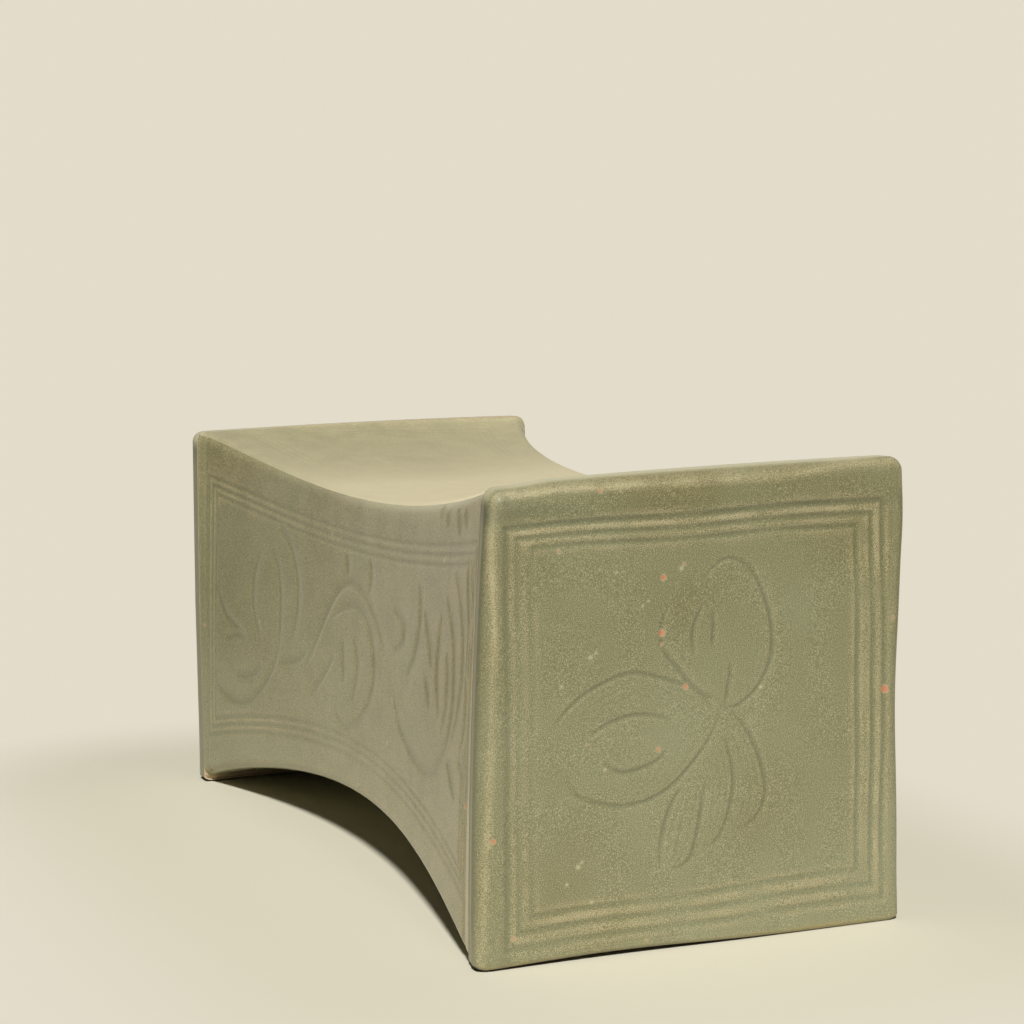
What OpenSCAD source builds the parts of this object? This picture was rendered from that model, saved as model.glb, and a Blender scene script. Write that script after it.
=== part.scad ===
/* [Overall] */
// Length over the two end panels
body_length = 242; // [180:1:320]
// Width of the end panels, front to back
end_width = 117; // [96:1:150]
// Height of the end panels at their front edge
front_height = 114.5; // [96:0.5:150]
// Height of the end panels at their back edge
back_height = 117.5; // [96:0.5:150]

/* [Waist] */
// Drop of the headrest's front edge at the middle
front_dip = 12; // [4:0.5:20]
// Drop of the headrest's back edge at the middle
back_dip = 15.5; // [4:0.5:20]
// Rise of the base at the middle
base_arch = 17.5; // [4:0.5:24]
// Draw-in of each wall along the headrest, at the middle
top_waist = 13.5; // [4:0.5:18]
// Draw-in of each wall along the base, at the middle
foot_waist = 11; // [4:0.5:18]

/* [Flare] */
// Curve of the headrest's front edge (0.5 is an ellipse, 1 a parabola, above 1 a bell)
front_edge_flare = 1.05; // [0.5:0.05:1.5]
// Curve of the headrest's back edge
back_edge_flare = 0.55; // [0.5:0.05:1.5]
// Curve of the base's arch
base_flare = 0.9; // [0.5:0.05:1.5]
// Curve of the walls along the headrest
wall_top_flare = 0.7; // [0.5:0.05:1.5]
// Curve of the walls along the base
wall_foot_flare = 1.3; // [0.5:0.05:1.5]

/* [Clay] */
// Thickness of the headrest
headrest_thickness = 8; // [6:0.5:11]
// Thickness of the base
base_thickness = 8; // [6:0.5:11]
// Thickness of the front and back walls
wall_thickness = 8; // [6:0.5:11]
// Thickness of the end panels
panel_thickness = 6.5; // [5:0.5:12]
// Thickness of the slip in each joint
slip_thickness = 0.8; // [0.4:0.1:1.5]
// Radius of the clay ropes in the inside corners
coil_radius = 6; // [3:0.5:9]

/* [Edges] */
// Radius of the long edges and of the panels' corners
edge_radius = 3.5; // [2:0.5:6]
// Rounding of the panels' outer rims
rim_radius = 2.5; // [1.5:0.5:4]

/* [Border] */
// Distance from a panel's edge to the first border line
border_margin = 7.5; // [6:0.5:14]
// Distance from one border line to the next
border_pitch = 3.3; // [2:0.1:6]
// Number of border lines
border_lines = 3; // [1:1:5]
// Width of a border line
border_width = 1.2; // [0.6:0.1:1.8]
// Depth of a border line
border_depth = 0.7; // [0.3:0.1:1.5]

/* [Vent] */
// Diameter of the vent hole in the base
vent_diameter = 6; // [3:0.5:10]

/* [Hidden] */

// Glazed clay as it looks outside, and bare fired clay inside
glaze_colour = "#8f8d68";
clay_colour = "#b9a386";

// Where the slabs stop and the panels start, measured from the middle
slab_end = body_length / 2 - panel_thickness - slip_thickness;
panel_start = slab_end + slip_thickness;
coil_end = slab_end - coil_radius;

// Steps of the facets: along the middle, near each end, and round an edge
mid_steps = 24;
end_steps = 4;
arc_steps = 4;
through = 1;

// Corners of a cross-section
front_top = 0;
back_top = 1;
back_base = 2;
front_base = 3;
corners = [front_top, back_top, back_base, front_base];
// Which way is inwards at each corner, across and up
inward = [[1, -1], [-1, -1], [-1, 1], [1, 1]];

// Half of a joint's slip, as an angle on the rounded edge and as a length along the slabs
slip_angle = asin(slip_thickness / 2 / edge_radius);
slip_share = slip_thickness / sqrt(2);

// Lengthwise stations, closer together near the ends where the slabs flare most
end_stations = [for (i = [0 : end_steps]) slab_end - coil_radius * pow(1 - i / end_steps, 2)];
mid_stations = [for (i = [0 : mid_steps]) coil_end * (2 * i / mid_steps - 1)];
slab_stations = concat(
    [for (i = [end_steps : -1 : 1]) -end_stations[i]],
    mid_stations,
    [for (i = [1 : end_steps]) end_stations[i]]
);

// Share of the waist that is reached at a station: none at the ends, all of it at the middle
function waist(x, flare) =
    let (reach = min(1, abs(x) / slab_end))
    pow(1 - reach * reach, flare);

// Outer corner of the cross-section before its edge is rounded, as [across, up]
function outer_corner(x, corner) =
    let (
        top_half = end_width / 2 - top_waist * waist(x, wall_top_flare),
        foot_half = end_width / 2 - foot_waist * waist(x, wall_foot_flare),
        base = base_arch * waist(x, base_flare)
    )
    corner == front_top ? [-top_half, front_height - front_dip * waist(x, front_edge_flare)]
    : corner == back_top ? [top_half, back_height - back_dip * waist(x, back_edge_flare)]
    : corner == back_base ? [foot_half, base]
    : [-foot_half, base];

// Inner corner, one thickness in from both faces
function inner_corner(x, corner) =
    let (slab = corner == front_top || corner == back_top ? headrest_thickness : base_thickness)
    outer_corner(x, corner) + [inward[corner].x * wall_thickness, inward[corner].y * slab];

// Point on the rounded outer edge: 0 degrees lies on the wall, 90 on the headrest or base
function edge_point(x, corner, angle) =
    let (turn = inward[corner])
    outer_corner(x, corner)
    + edge_radius * [turn.x * (1 - cos(angle)), turn.y * (1 - sin(angle))];

// Unit vectors along the inner faces from an inner corner: over the slab, and over the wall
function slab_neighbour(corner) = [back_top, front_top, front_base, back_base][corner];
function wall_neighbour(corner) = [front_base, back_base, back_top, front_top][corner];
function unit(v) = v / norm(v);
function along_slab(x, corner) =
    unit(inner_corner(x, slab_neighbour(corner)) - inner_corner(x, corner));
function along_wall(x, corner) =
    unit(inner_corner(x, wall_neighbour(corner)) - inner_corner(x, corner));

// Ends of the slip on the inner faces
function slab_foot(x, corner) = inner_corner(x, corner) + slip_share * along_slab(x, corner);
function wall_foot(x, corner) = inner_corner(x, corner) + slip_share * along_wall(x, corner);

// Rounded edge between two angles, as a list of points
function edge_arc(x, corner, from, to) =
    [for (i = [0 : arc_steps]) edge_point(x, corner, from + (to - from) * i / arc_steps)];

// Cross-section of the headrest or base, between its two corners
function slab_section(x, first, last) = concat(
    edge_arc(x, first, 45 + slip_angle, 90),
    edge_arc(x, last, 90, 45 + slip_angle),
    [slab_foot(x, last), slab_foot(x, first)]
);

// Cross-section of a wall, between its two corners
function wall_section(x, first, last) = concat(
    edge_arc(x, first, 45 - slip_angle, 0),
    edge_arc(x, last, 0, 45 - slip_angle),
    [wall_foot(x, last), wall_foot(x, first)]
);

// Cross-section of the slip in a long joint
function slip_section(x, corner) = [
    edge_point(x, corner, 45 - slip_angle),
    edge_point(x, corner, 45),
    edge_point(x, corner, 45 + slip_angle),
    slab_foot(x, corner),
    inner_corner(x, corner),
    wall_foot(x, corner)
];

// Cross-section of the clay rope in a long inside corner, a quarter round
function coil_section(x, corner) = concat(
    [inner_corner(x, corner)],
    [for (i = [0 : arc_steps])
        let (angle = 90 * i / arc_steps)
        inner_corner(x, corner)
        + coil_radius * (cos(angle) * along_slab(x, corner) + sin(angle) * along_wall(x, corner))]
);

// Outline of an end panel, drawn in from its edge, with rounded corners
function panel_outline(inset) =
    let (radius = max(edge_radius - inset, edge_radius / 10))
    [for (corner = corners, i = [0 : arc_steps])
        let (
            turn = inward[corner],
            angle = 90 * (corner % 2 == 0 ? i : arc_steps - i) / arc_steps
        )
        outer_corner(slab_end, corner) + inset * turn
        + radius * [turn.x * (1 - cos(angle)), turn.y * (1 - sin(angle))]];

// Sharp-cornered outline of an end panel, for the border lines
function panel_frame(inset) =
    [for (corner = corners) outer_corner(slab_end, corner) + inset * inward[corner]];

// A cross-section set at a station
function place(x, points) = [for (p = points) [x, p.x, p.y]];

// Solid through a list of cross-sections that all have as many points, each running
// anticlockwise as seen from the end that the list starts at
module loft(sections) {
    count = len(sections[0]);
    last = len(sections) - 1;
    sides = [
        for (s = [0 : last - 1], i = [0 : count - 1], half = [0, 1])
        let (
            a = s * count + i,
            b = s * count + (i + 1) % count
        )
        half == 0 ? [a, b, b + count] : [a, b + count, a + count]
    ];
    ends = [
        [for (i = [count - 1 : -1 : 0]) i],
        [for (i = [0 : count - 1]) last * count + i]
    ];
    points = [for (section = sections) each section];
    polyhedron(points = points, faces = concat(sides, ends), convexity = 6);
}

// Solid round a closed ring of cross-sections
module loop_loft(sections) {
    count = len(sections[0]);
    rings = len(sections);
    faces = [
        for (s = [0 : rings - 1], i = [0 : count - 1], half = [0, 1])
        let (
            next = (s + 1) % rings,
            j = (i + 1) % count
        )
        half == 0 ? [s * count + i, s * count + j, next * count + j]
        : [s * count + i, next * count + j, next * count + i]
    ];
    points = [for (section = sections) each section];
    polyhedron(points = points, faces = faces, convexity = 6);
}

// Headrest, base or wall: its cross-sections at every station
module headrest_slab() {
    color(glaze_colour)
    loft([for (x = slab_stations) place(x, slab_section(x, front_top, back_top))]);
}

module base_slab() {
    color(glaze_colour)
    difference() {
        loft([for (x = slab_stations) place(x, slab_section(x, back_base, front_base))]);
        translate([0, 0, base_arch - through])
        cylinder(h = base_thickness + 2 * through, d = vent_diameter, $fn = 48);
    }
}

module front_wall() {
    color(glaze_colour)
    loft([for (x = slab_stations) place(x, wall_section(x, front_base, front_top))]);
}

module back_wall() {
    color(glaze_colour)
    loft([for (x = slab_stations) place(x, wall_section(x, back_top, back_base))]);
}

// Clay of an end panel: straight at the joint, rounded towards its outer face
module panel_clay() {
    rim_start = body_length / 2 - rim_radius;
    rim = [for (i = [0 : arc_steps])
        let (angle = 90 * i / arc_steps)
        place(rim_start + rim_radius * sin(angle), panel_outline(rim_radius * (1 - cos(angle))))];
    loft(concat([place(panel_start, panel_outline(0))], rim));
}

// One border line, as the bar of clay that the tool takes away
module border_line(inset) {
    translate([body_length / 2 - border_depth, 0, 0])
    rotate([90, 0, 90])
    linear_extrude(border_depth + through)
    difference() {
        polygon(panel_frame(inset));
        polygon(panel_frame(inset + border_width));
    }
}

module end_panel() {
    difference() {
        panel_clay();
        for (i = [0 : border_lines - 1]) border_line(border_margin + i * border_pitch);
    }
}

module right_end_panel() {
    color(glaze_colour) end_panel();
}

module left_end_panel() {
    color(glaze_colour) mirror([1, 0, 0]) end_panel();
}

// Slip in a long joint; its section turns the other way at every second corner
module long_slip(corner) {
    sections = [for (x = slab_stations) place(x, slip_section(x, corner))];
    color(clay_colour) loft(corner % 2 == 0 ? sections : reverse_all(sections));
}

// Clay rope in a long inside corner, between the two end ropes
module long_coil(corner) {
    sections = [for (x = mid_stations) place(x, coil_section(x, corner))];
    color(clay_colour) loft(corner % 2 == 0 ? sections : reverse_all(sections));
}

function reverse(list) = [for (i = [len(list) - 1 : -1 : 0]) list[i]];
function reverse_all(sections) = [for (section = sections) reverse(section)];

module front_top_slip() long_slip(front_top);
module back_top_slip() long_slip(back_top);
module front_base_slip() long_slip(front_base);
module back_base_slip() long_slip(back_base);
module front_top_coil() long_coil(front_top);
module back_top_coil() long_coil(back_top);
module front_base_coil() long_coil(front_base);
module back_base_coil() long_coil(back_base);

// Slip between the slabs' ends and an end panel, a flat ring as wide as the slabs are thick
module end_slip() {
    hole = [for (corner = corners) inner_corner(slab_end, corner)];
    translate([slab_end, 0, 0])
    rotate([90, 0, 90])
    linear_extrude(slip_thickness)
    difference() {
        polygon(panel_outline(0));
        polygon(hole);
    }
}

module right_end_slip() {
    color(clay_colour) end_slip();
}

module left_end_slip() {
    color(clay_colour) mirror([1, 0, 0]) end_slip();
}

// Clay rope round the inside of an end: a quarter round that lies on the panel's slip and
// follows the slabs' flare
module end_coil() {
    ring = [for (corner = corners) concat(
        [for (i = [end_steps : -1 : 0]) coil_point(end_stations[i], corner, 0)],
        [for (i = [1 : arc_steps])
            let (angle = 90 * i / arc_steps)
            coil_point(slab_end - coil_radius * cos(angle), corner, coil_radius * sin(angle))]
    )];
    loop_loft(ring);
}

// Point of the end rope at a corner, moved in from both inner faces
function coil_point(x, corner, inset) =
    let (p = inner_corner(x, corner) + inset * (along_slab(x, corner) + along_wall(x, corner)))
    [x, p.x, p.y];

module right_end_coil() {
    color(clay_colour) end_coil();
}

module left_end_coil() {
    color(clay_colour) mirror([1, 0, 0]) end_coil();
}

headrest_slab();
base_slab();
front_wall();
back_wall();
right_end_panel();
left_end_panel();
front_top_slip();
back_top_slip();
front_base_slip();
back_base_slip();
right_end_slip();
left_end_slip();
front_top_coil();
back_top_coil();
front_base_coil();
back_base_coil();
right_end_coil();
left_end_coil();
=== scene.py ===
"""Slab-built celadon pillow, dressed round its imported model.

Two flat ends and four slabs that draw in towards the middle take the place of the plain nodes.
Borders and leaf sprays are cut into their faces, and the glaze is thin on edges and pooled in cuts.
Lengths are metres, and the drawings of the cuts are millimetres on their own face.
"""

import math

import bpy
import numpy as np
from mathutils import Matrix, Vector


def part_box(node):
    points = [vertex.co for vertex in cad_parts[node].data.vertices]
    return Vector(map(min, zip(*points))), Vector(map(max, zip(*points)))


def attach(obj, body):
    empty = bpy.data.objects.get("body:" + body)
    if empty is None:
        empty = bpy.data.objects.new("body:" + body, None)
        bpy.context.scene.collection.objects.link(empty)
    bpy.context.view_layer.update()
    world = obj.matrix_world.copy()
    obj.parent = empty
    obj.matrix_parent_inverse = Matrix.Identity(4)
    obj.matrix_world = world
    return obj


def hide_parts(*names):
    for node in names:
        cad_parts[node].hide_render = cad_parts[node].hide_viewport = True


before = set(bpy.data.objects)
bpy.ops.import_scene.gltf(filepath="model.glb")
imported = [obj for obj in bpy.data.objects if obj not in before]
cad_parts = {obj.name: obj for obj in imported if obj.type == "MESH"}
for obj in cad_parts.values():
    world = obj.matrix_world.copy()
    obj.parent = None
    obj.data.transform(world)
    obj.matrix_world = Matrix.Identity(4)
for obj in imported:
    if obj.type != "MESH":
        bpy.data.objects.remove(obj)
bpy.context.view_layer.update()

bl_info = {
    "name": "Celadon pillow",
    "version": (1, 0, 0),
    "blender": (4, 5, 0),
    "location": "View3D > Sidebar > Pillow",
    "description": "Builds a slab-built celadon pillow with incised borders and leaf sprays",
    "category": "Add Mesh",
}

MM = 0.001

# Where the slabs stop, where the end panels start and where their faces lie, from the middle
SLAB_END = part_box("headrest_slab")[1].x
PANEL_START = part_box("right_end_panel")[0].x
PANEL_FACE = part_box("right_end_panel")[1].x
END_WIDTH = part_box("right_end_panel")[1].y * 2
BACK_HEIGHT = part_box("right_end_panel")[1].z
SLIP = PANEL_START - SLAB_END

# Sides of the cross-section, in order round it; side n runs from corner n to corner n + 1
HEADREST, BACK_WALL, BASE, FRONT_WALL = range(4)
# Which way is inwards at the corners front top, back top, back base and front base, as (y, z)
INWARD = np.array([(1, -1), (-1, -1), (-1, 1), (1, 1)])

# Steps of the grids: along a slab or a seam, over a slab's flat and round half an edge
STATIONS = 420
SEAM_STATIONS = 120
WALL_ROWS = 186
TOP_ROWS = 180
BASE_ROWS = 90
ARC_STEPS = 9
# Rings of an end panel's grid over its face, rim and side
FACE_RINGS = 131
RIM_RINGS = 12
SIDE_RINGS = 6
# Half the rows and stations of the block that the vent hole takes out of the base's grid
BORE_CELLS = (3, 4)

# The end panel's spray as (y, z): a petal, a leaf with an eye, and four fronds
END_SPRAY = {
    "petal": [(1.3, 89.2), (3.8, 92.5), (8.7, 94.8), (14.2, 92.1), (18.3, 85.4), (20.6, 77), (20.2, 69.2),
              (16.3, 62), (10.8, 58.3), (7.4, 58.3), (6.5, 60.6)],
    "petal_vein": [(4.2, 82.3), (4.5, 78), (4.1, 73)],
    "petal_side": [(1.7, 84), (-0.8, 79.2), (-1.3, 75), (-0.8, 71.5)],
    "bud": [(9.2, 69.2), (9, 65.8), (7.6, 58.8)],
    "stalk": [(-7.9, 84.4), (-9.8, 79.5), (-9.4, 73.8), (-5, 68.3), (0, 62.9), (6.7, 60)],
    "leaf_top": [(-39.4, 56.2), (-33.8, 61.6), (-28, 65.3), (-18.1, 68.3), (-7.5, 65.8), (0, 62.8),
                 (4.4, 57.8)],
    "leaf_foot": [(6.3, 56.8), (2.5, 49.7), (-5, 41.6), (-12, 37.6), (-20, 36.2), (-28.8, 38.1), (-32, 40),
                  (-35.6, 44.4)],
    "eye_top": [(-29.4, 53.4), (-25, 56.2), (-18.1, 58.1), (-12, 57.6), (-6.9, 56.2)],
    "eye_foot": [(-25.6, 47.2), (-22.5, 45.1), (-18.8, 44.4), (-12, 46), (-8.1, 48.8)],
    "frond_1": [(9.2, 57.6), (13.5, 52.5), (17.5, 44.4), (18.9, 37), (17.5, 31.9), (14.4, 28.8),
                (10.9, 27.8)],
    "frond_2": [(7.6, 51.2), (9.8, 42.5), (9.2, 34.5), (6.6, 27.5), (4.4, 25), (1.9, 24.5)],
    "frond_3": [(2.2, 40.3), (1.1, 34), (-1.2, 23.8), (-3.8, 20.3), (-7.5, 19.4)],
    "frond_4": [(-4.4, 39.7), (-7.8, 34), (-9.9, 27), (-10.3, 20.6)],
}
# Pairs of its lines with combed lines between them, and how many
END_COMBS = [("leaf_top", "eye_top", 5), ("leaf_foot", "eye_foot", 6), ("frond_1", "frond_2", 4),
             ("frond_2", "frond_3", 4), ("frond_3", "frond_4", 3)]
# The end panel's three border lines as (y, z), each from its lower front corner round
END_BORDER = [
    [(-50.3, 4.6), (-50.5, 104.6), (52, 107.7), (53.2, 6.4)],
    [(-47.3, 8.4), (-47.5, 102), (48.7, 104.4), (50, 10)],
    [(-44, 11.7), (-44, 99.6), (44.2, 101.3), (45.6, 13.9)],
]
# How deep the tool went along a border's front, top, back and foot, as shares of the full depth
BORDER_DEPTHS = (0.38, 1, 0.85, 0.65)
# Burst bubbles where the clay shows, as (y, z, radius, strength), and pale flecks, as (y, z, radius)
END_PITS = [(-9.5, 91, 0.8, 1), (-3.8, 94, 0.7, 0.6), (-9.8, 77.6, 0.9, 1), (-9.8, 74.7, 0.7, 0.6),
            (-3.2, 64, 0.9, 0.8), (-10.8, 49.2, 0.8, 0.6), (-37, 98.6, 0.8, 0.6), (-24, 101, 0.5, 0.5),
            (-49, 7, 0.9, 0.5), (53, 59.5, 1.1, 1), (-54.2, 30.8, 0.8, 0.8), (-26, 112.5, 0.8, 0.6),
            (-30, 52, 0.6, 0.5), (-14, 2.6, 0.9, 0.5), (55, 77.5, 1, 0.5)]
END_FLECKS = [(-29, 73, 0.5), (-27.5, 74, 0.35), (-32, 22.5, 0.55), (-31, 23.6, 0.35), (-35, 18.5, 0.4),
              (-28.5, 13.5, 0.4), (-4.6, 93, 0.5), (-36.5, 66.5, 0.4), (-25, 45.6, 0.4), (-15, 84.5, 0.35),
              (-13.5, 85.5, 0.3), (-22, 93, 0.3), (17.5, 62.5, 0.35)]
# The top front corner, where the glaze is duller, as (y, z, radius)
DULL_CORNER = [(-51, 111, 5)]

# The front wall's three sprays as (x, z), cut wide and slanting
WALL_SPRAYS = [
    [(-105, 35.5), (-98, 31.8), (-89, 30), (-79, 31.8), (-70, 37), (-63, 43.5), (-58.5, 50.5), (-57, 57)],
    [(-103.5, 66), (-100.5, 60.5), (-95, 55.5), (-86, 53.5)],
    [(-97.5, 48), (-93, 50.3), (-87.5, 51.2), (-81.5, 50.8)],
    [(-89, 38.6), (-82, 39.2), (-75, 41), (-70, 44)],
    [(-74, 79), (-78, 72), (-78.5, 64), (-76, 57), (-71.5, 52)],
    [(-65.5, 80.5), (-61, 76), (-58.8, 69), (-58, 61), (-58.5, 53)],
    [(-61, 88), (-54, 84.5), (-48.5, 78.5), (-45.5, 71), (-46, 62), (-49.5, 54.5)],
    [(-57, 47.5), (-50, 48), (-42, 50), (-36, 54)],
    [(-36, 49.5), (-28.5, 58.5), (-21, 67), (-14, 73), (-5, 76.8), (5, 76), (14, 72), (22, 66.5),
     (28, 60.5)],
    [(-18, 65.5), (-11, 68.5), (0, 71), (8, 69.5), (14, 65), (17.5, 58), (17, 51), (12.5, 45), (5, 39.5),
     (-3, 36.5), (-10, 37.5), (-15.5, 42.5)],
    [(-32.5, 41), (-25, 46.5), (-19, 51.5), (-15, 55)],
    [(-9, 61), (-8.5, 55), (-8, 48)],
    [(1, 62), (3.3, 56), (2, 49), (-0.5, 44)],
    [(12, 86), (13, 80), (11, 75)],
    [(-7, 85), (-6, 78)],
]
# The spray by the right end, cut deeper, with short strokes under the border
WALL_DEEP = [
    [(77.5, 79), (75.4, 70.3), (75.4, 62), (79.2, 52.7)],
    [(81.7, 83.5), (88.3, 76), (91.2, 67.7), (91.8, 58.5), (88.3, 49.3), (83.3, 43.5), (78.3, 38)],
    [(88.3, 91), (94.2, 84.3), (98.3, 76.8), (99.6, 67.7), (97.5, 58.5), (93.3, 51.8), (86, 44)],
    [(99.2, 97.3), (100.8, 88.5), (104.2, 80.2), (107, 75.2)],
    [(36, 52), (42, 44.5), (50, 40.5), (58, 38), (66, 36.8), (74, 37.5), (80, 40), (86, 46), (90, 52)],
    [(61.5, 77.5), (66, 71), (70.5, 64)],
    [(64.5, 61), (67.5, 57), (70, 53.5)],
    [(89, 44.3), (93.3, 39.5), (98, 36.3)],
    [(100, 45.3), (103.3, 44.3), (107, 41)],
    [(34, 74), (39, 72.5), (43, 70.5), (42, 66.5), (36, 64.5)],
    [(56, 84), (57.5, 77), (56, 70), (53, 64), (48, 59)],
    [(71, 105), (73, 102)],
    [(77, 104), (79, 101)],
    [(86.5, 106), (88, 103), (90.5, 100)],
    [(93, 106), (96.5, 102)],
    [(103, 96), (106.5, 88), (109, 80)],
    [(102, 70), (104.5, 62), (104, 54), (101, 48)],
    [(84, 70), (85.5, 63), (85, 56), (82, 50)],
]
WALL_PITS = [(76, 93, 0.8, 0.6), (35, 50, 1, 0.7), (-73, 57.5, 0.8, 0.6), (-60, 62, 0.6, 0.5),
             (-111, 52, 0.7, 0.6), (108.5, 37, 0.9, 0.8)]
WALL_FLECKS = [(32, 38, 0.7), (-20, 90, 0.6), (76.8, 92.6, 0.6), (109, 36.6, 0.5)]
# The headrest's sprays are the end's, shrunk about its middle, as (place along x, turn)
SPRAY_MIDDLE = (-8, 57)
TOP_SHRINK = 0.62
TOP_SPRAYS = [(-64, 1), (0, -1), (64, 1)]
# How much wider a slanting stroke is on one side
SLANT = 0.4

# The camera's place in metres, its bearing, height and tilt in degrees, and its lens in millimetres
CAMERA_PLACE = (0.604627, -0.257369, 0.158363)
CAMERA_ANGLES = (66.6882, 5.4162, -0.2293)
CAMERA_LENS = 80.07
# Ways from the pillow to the lamp and, level, away from the camera to the backdrop
LAMP_WAY = (0.657, -0.293, 0.695)
BACKDROP_WAY = (-0.918, 0.396, 0)
# Rings and spokes of the round floor
FLOOR_RINGS = 24
FLOOR_SPOKES = 96


def linear(hex_colour):
    """Linear colour and full alpha of a hex sRGB colour, by the sRGB curve."""
    shares = np.array([int(hex_colour[k:k + 2], 16) for k in (1, 3, 5)]) / 255
    curved = np.where(shares <= 0.04045, shares / 12.92, ((shares + 0.055) / 1.055) ** 2.4)
    return (*curved.tolist(), 1.0)


def length(name, description, default):
    """Length property whose default is in metres."""
    return bpy.props.FloatProperty(
        name=name, description=description, default=default, min=0, precision=5, unit="LENGTH"
    )


def number(name, description, default):
    """Plain positive number property."""
    return bpy.props.FloatProperty(name=name, description=description, default=default, min=0)


def colour(name, description, default):
    """Colour property whose default is a hex sRGB colour."""
    return bpy.props.FloatVectorProperty(
        name=name, description=description, default=linear(default), size=4, min=0, max=1, subtype="COLOR"
    )


class PillowForm(bpy.types.PropertyGroup):
    """Sizes of the body."""

    end_width: length("End width", "Depth of the end panels, front to back", END_WIDTH)
    front_height: length("Front height", "Height of the ends at the front", 114.5 * MM)
    back_height: length("Back height", "Height of the ends at the back", BACK_HEIGHT)
    front_dip: length("Front dip", "Drop of the front top edge at the middle", 12 * MM)
    back_dip: length("Back dip", "Drop of the back top edge at the middle", 15.5 * MM)
    base_arch: length("Base arch", "Rise of the base at the middle", 17.5 * MM)
    top_waist: length("Top waist", "How far each wall's top draws in at the middle", 13.5 * MM)
    foot_waist: length("Foot waist", "How far each wall's foot draws in at the middle", 11 * MM)
    front_flare: number("Front flare", "Power of the front dip's curve", 1.05)
    back_flare: number("Back flare", "Power of the back dip's curve", 0.55)
    base_flare: number("Base flare", "Power of the arch's curve", 0.9)
    top_flare: number("Top flare", "Power of the top waist's curve", 0.7)
    foot_flare: number("Foot flare", "Power of the foot waist's curve", 1.3)
    slab_thickness: length("Slab thickness", "Thickness of the four slabs", 8 * MM)
    edge_radius: length("Edge radius", "Rounding of the long edges", 3.5 * MM)
    rim_radius: length("Rim radius", "Rounding of the end panels' rims across their face", 3.2 * MM)
    foot_rim: length("Foot rim", "That rounding along the foot", 1.4 * MM)
    rim_depth: length("Rim depth", "Rounding of the end panels' rims across their thickness", 2.2 * MM)
    soft_rim: length("Soft rim", "Rim depth along the front and the top of the right end", 5 * MM)
    vent_diameter: length("Vent", "Diameter of the vent hole in the base", 6 * MM)
    foot_draw: length("Foot draw", "How far the right end's front edge draws in at the foot", 0.2 * MM)
    top_draw: length("Top draw", "How far that edge draws in at the top", 4.7 * MM)
    worn_edge: length("Worn edge", "How far the ends' faces fall back at their front and top edge", 0.8 * MM)
    foot_lift: length("Foot lift", "How far the ends' feet stand clear of the floor", 1.2 * MM)
    foot_sag: length("Foot sag", "How far the feet's corners reach below the packed foot", 0.6 * MM)
    left_step: length("Left step", "How far the slabs stop above the left end's foot", 1.5 * MM)
    corner_drop: length("Corner drop", "Fall of the right end's top edge at its front corner", 0.8 * MM)
    pinch: length("Pinch", "How far the front draws in at the right end's joint", 0.8 * MM)
    back_draw: length("Back draw", "How far the right end's back edge draws in at half its height", 1.3 * MM)
    back_bulge: length("Back bulge", "How far that edge swells near the top", 0.5 * MM)
    spread: length("Spread", "How far the left end's front edge leans out", 0.75 * MM)
    crown: length("Crown", "Rise of the right end's top edge", 0.8 * MM)
    left_crown: length("Left crown", "Rise of the left end's top edge", 0.6 * MM)
    left_draw: length("Left draw", "How far the left end's back edge draws in at the top", 2 * MM)


class PillowCuts(bpy.types.PropertyGroup):
    """Widths and depths of the incised lines."""

    border_width: length("Border width", "Half width of a border line", 0.68 * MM)
    border_depth: length("Border depth", "Depth of a border line on the ends", 0.4 * MM)
    border_margin: length("Border margin", "Distance of the first border line from a slab's edge", 10 * MM)
    border_pitch: length("Border pitch", "Distance between border lines on the slabs", 2.5 * MM)
    border_fall: length("Border fall", "How much farther in the lines lie at the slabs' ends", 2.5 * MM)
    end_width: length("End stroke width", "Half width of a stroke on the ends", 0.6 * MM)
    end_depth: length("End stroke depth", "Depth of a stroke on the ends", 0.42 * MM)
    comb_width: length("Comb width", "Half width of a combed line", 0.4 * MM)
    comb_depth: length("Comb depth", "Depth of a combed line", 0.12 * MM)
    wall_width: length("Wall stroke width", "Half width of a stroke on the walls", 1.8 * MM)
    wall_depth: length("Wall stroke depth", "Depth of a stroke on the walls", 0.38 * MM)
    deep_stroke: length("Deep stroke", "Depth of a stroke by the walls' right end", 0.42 * MM)
    wall_border: length("Wall border depth", "Depth of a border line on the walls", 0.28 * MM)
    top_depth: length("Top stroke depth", "Depth of a stroke on the headrest, worn by use", 0.13 * MM)
    slab_pit: length("Slab pit", "Depth of a burst bubble on the slabs", 0.2 * MM)
    end_pit: length("End pit", "Depth of a burst bubble on the ends", 0.25 * MM)
    full_pool: length("Full pool", "Depth of a cut that holds the thickest glaze", 0.9 * MM)


class PillowGlaze(bpy.types.PropertyGroup):
    """Colours of the glaze and the clay."""

    # Grey green shows more low down and olive higher up, by height alone
    grey_green: colour("Grey green", "Glaze that ran down and lies thick", "#868767")
    olive: colour("Olive", "Glaze left thinner higher up", "#78724d")
    pale_grain: colour("Pale grain", "Light grains in the glaze", "#b8b08b")
    dark_grain: colour("Dark grain", "Dark grains in the glaze", "#54573f")
    # Also the colour of the painted sheen on the headrest and towards the walls' right end
    thin_and_sheen: colour("Thin glaze", "Glaze on edges and ridges", "#9c8960")
    pooled: colour("Pooled glaze", "Glaze in the cuts", "#585a42")
    scorched: colour("Scorched", "Foot where the glaze was wiped off", "#9c8a55")
    # Painted shade: near black on the feet's undersides, where the gap under each foot lies in shade
    painted_foot_shade: colour("Stained", "Underside of the feet, stained by the kiln", "#2b2413")
    pit: colour("Pit", "Clay in burst bubbles", "#c07a58")
    # Also the colour of painted highlights on rims and edges and of painted sheen
    fleck_and_highlight: colour("Fleck", "Pale flecks, and glaze rubbed pale", "#d4cca6")
    sheen: colour("Sheen", "Tint of the satin sheen at a slant", "#ffeec6")
    clay: colour("Clay", "Bare fired clay", "#c2ac88")


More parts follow.
